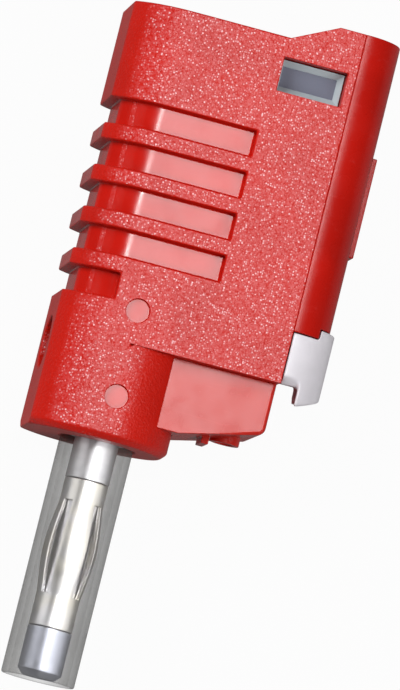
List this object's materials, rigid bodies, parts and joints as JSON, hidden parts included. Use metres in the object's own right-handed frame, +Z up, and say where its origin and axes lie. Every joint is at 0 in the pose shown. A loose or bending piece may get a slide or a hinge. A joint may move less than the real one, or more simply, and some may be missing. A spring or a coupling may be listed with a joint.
{
  "type": "stackable banana plug",
  "caption": "Stackable 4 mm test plug with ribbed flat housing, sprung pin under a clear sleeve, axial and cross sockets and a spring wire terminal.",
  "frame": {"origin": "centre of the part's box, on the surface that it lies on", "axes": "+Y from the pin's tip to the housing's top, along the pin; +Z up, from the flat back that it lies on to the flat front; +X from the grip to the terminal end"},
  "size_m": [0.0224, 0.0564, 0.0114],
  "materials": {
    "textured_red": "fine spark-eroded texture on red polyamide",
    "smooth_red": "polished red polyamide",
    "insert_red": "polished red polyamide",
    "white_plastic": "natural white polyamide",
    "grey_plastic": "slate grey polyamide",
    "spring_steel": "plain spring steel",
    "tinned_copper": "tinned copper",
    "brass_block": "bright brass",
    "nickel": "nickel-plated brass",
    "leaf_plating": "pale gold on spring bronze",
    "clear_plastic": "clear moulded plastic"
  },
  "bodies": {
    "plug": {"housing": "textured_red", "end_cover": "smooth_red", "socket_carrier": "insert_red", "contact_block": "brass_block", "plug_pin": "nickel", "contact_basket": "leaf_plating", "axial_socket": "nickel", "cross_socket": "nickel", "lock_washer": "spring_steel", "current_bar": "tinned_copper", "clamp_spring": "spring_steel"},
    "sleeve": {"protective_sleeve": "clear_plastic"},
    "button": {"release_button": "grey_plastic"},
    "clip": {"strain_relief_clip": "white_plastic"}
  },
  "joints": [
    {"name": "sleeve_slide", "type": "slide", "parent": "plug", "child": "sleeve", "axis": [0, -1, 0], "range_m": [0, 0.0215]},
    {"name": "button_press", "type": "slide", "parent": "plug", "child": "button", "axis": [0, 0, -1], "range_m": [0, 0.0012], "stiffness_N_per_m": 400, "deforming": ["clamp_spring"]},
    {"name": "clip_slide", "type": "slide", "parent": "plug", "child": "clip", "axis": [1, 0, 0], "range_m": [0, 0.0025]}
  ]
}
